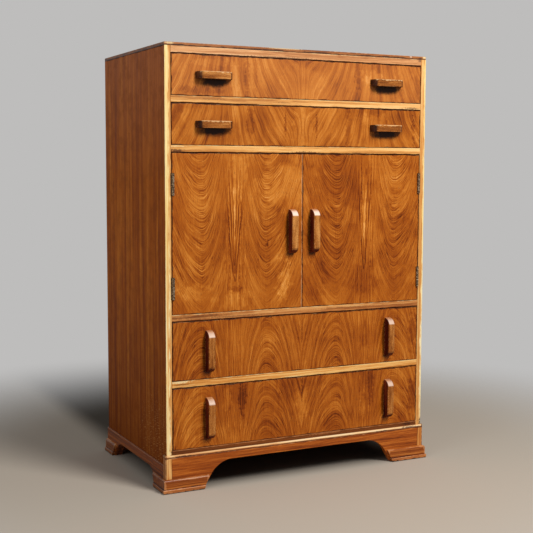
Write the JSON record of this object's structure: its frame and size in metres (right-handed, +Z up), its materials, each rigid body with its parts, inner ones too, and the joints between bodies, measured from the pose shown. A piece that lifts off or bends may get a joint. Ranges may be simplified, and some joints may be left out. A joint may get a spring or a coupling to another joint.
{
  "type": "chifforobe",
  "caption": "Tall walnut chifforobe: shallow drawers over a hinged-door cupboard over deep drawers, on a plinth with arched bracket feet.",
  "frame": {"origin": "on the floor, in the middle of the whole object's footprint, handles included", "axes": "+Z up, -Y towards the viewer of the fronts, +X to the right of that viewer"},
  "size_m": [0.864, 0.5254, 1.22],
  "materials": {
    "crown_walnut": "book-matched crown walnut veneer, orange-brown, satin polish, worn",
    "side_walnut": "straight-grained red-brown walnut veneer, satin, scuffed near the floor",
    "top_walnut": "dark brown walnut, satin",
    "lipped_board": "light golden lipping with dark stains, satin",
    "dark_rail": "dark brown stain, satin",
    "worn_bead": "polish worn through to pale wood",
    "plinth_walnut": "brown walnut, satin, worn along its edges",
    "handle_walnut": "solid walnut, polished",
    "drawer_pine": "bare pale softwood",
    "thin_panel": "bare thin plywood",
    "aged_steel": "dark aged steel, dull"
  },
  "bodies": {
    "carcase": {"side_left": "side_walnut", "side_right": "side_walnut", "top_board": "top_walnut", "top_rail": "lipped_board", "divider_board_upper": "lipped_board", "cupboard_ceiling": "lipped_board", "cupboard_floor": "lipped_board", "divider_board_lower": "lipped_board", "bottom_board": "dark_rail", "back_panel": "thin_panel", "cupboard_shelf": "drawer_pine", "plinth_front": "plinth_walnut", "plinth_left": "plinth_walnut", "plinth_right": "plinth_walnut", "plinth_back": "plinth_walnut", "plinth_bead": "worn_bead", "foot_moulding_front_left": "plinth_walnut", "foot_moulding_front_right": "plinth_walnut", "foot_moulding_back_left": "plinth_walnut", "foot_moulding_back_right": "plinth_walnut", "frame_left_hinge_leaf_upper": "aged_steel", "frame_left_hinge_leaf_lower": "aged_steel", "frame_right_hinge_leaf_upper": "aged_steel", "frame_right_hinge_leaf_lower": "aged_steel"},
    "left_door": {"door_left": "crown_walnut", "door_left_handle": "handle_walnut", "door_left_hinge_leaf_upper": "aged_steel", "door_left_hinge_leaf_lower": "aged_steel"},
    "right_door": {"door_right": "crown_walnut", "door_right_handle": "handle_walnut", "door_right_hinge_leaf_upper": "aged_steel", "door_right_hinge_leaf_lower": "aged_steel"},
    "drawer_1": {"drawer_1_front": "crown_walnut", "drawer_1_side_left": "drawer_pine", "drawer_1_side_right": "drawer_pine", "drawer_1_back": "drawer_pine", "drawer_1_bottom": "thin_panel", "drawer_1_handle_left": "handle_walnut", "drawer_1_handle_right": "handle_walnut"},
    "drawer_2": {"drawer_2_front": "crown_walnut", "drawer_2_side_left": "drawer_pine", "drawer_2_side_right": "drawer_pine", "drawer_2_back": "drawer_pine", "drawer_2_bottom": "thin_panel", "drawer_2_handle_left": "handle_walnut", "drawer_2_handle_right": "handle_walnut"},
    "drawer_3": {"drawer_3_front": "crown_walnut", "drawer_3_side_left": "drawer_pine", "drawer_3_side_right": "drawer_pine", "drawer_3_back": "drawer_pine", "drawer_3_bottom": "thin_panel", "drawer_3_handle_left": "handle_walnut", "drawer_3_handle_right": "handle_walnut"},
    "drawer_4": {"drawer_4_front": "crown_walnut", "drawer_4_side_left": "drawer_pine", "drawer_4_side_right": "drawer_pine", "drawer_4_back": "drawer_pine", "drawer_4_bottom": "thin_panel", "drawer_4_handle_left": "handle_walnut", "drawer_4_handle_right": "handle_walnut"}
  },
  "joints": [
    {"name": "left_door_hinge", "type": "hinge", "parent": "carcase", "child": "left_door", "pos_m": [-0.396, -0.23975, 0.71], "axis": [0, 0, -1], "range_deg": [0, 170]},
    {"name": "right_door_hinge", "type": "hinge", "parent": "carcase", "child": "right_door", "pos_m": [0.396, -0.23975, 0.71], "axis": [0, 0, 1], "range_deg": [0, 170]},
    {"name": "drawer_1_slide", "type": "slide", "parent": "carcase", "child": "drawer_1", "axis": [0, -1, 0], "range_m": [0, 0.35]},
    {"name": "drawer_2_slide", "type": "slide", "parent": "carcase", "child": "drawer_2", "axis": [0, -1, 0], "range_m": [0, 0.35]},
    {"name": "drawer_3_slide", "type": "slide", "parent": "carcase", "child": "drawer_3", "axis": [0, -1, 0], "range_m": [0, 0.35]},
    {"name": "drawer_4_slide", "type": "slide", "parent": "carcase", "child": "drawer_4", "axis": [0, -1, 0], "range_m": [0, 0.35]}
  ]
}
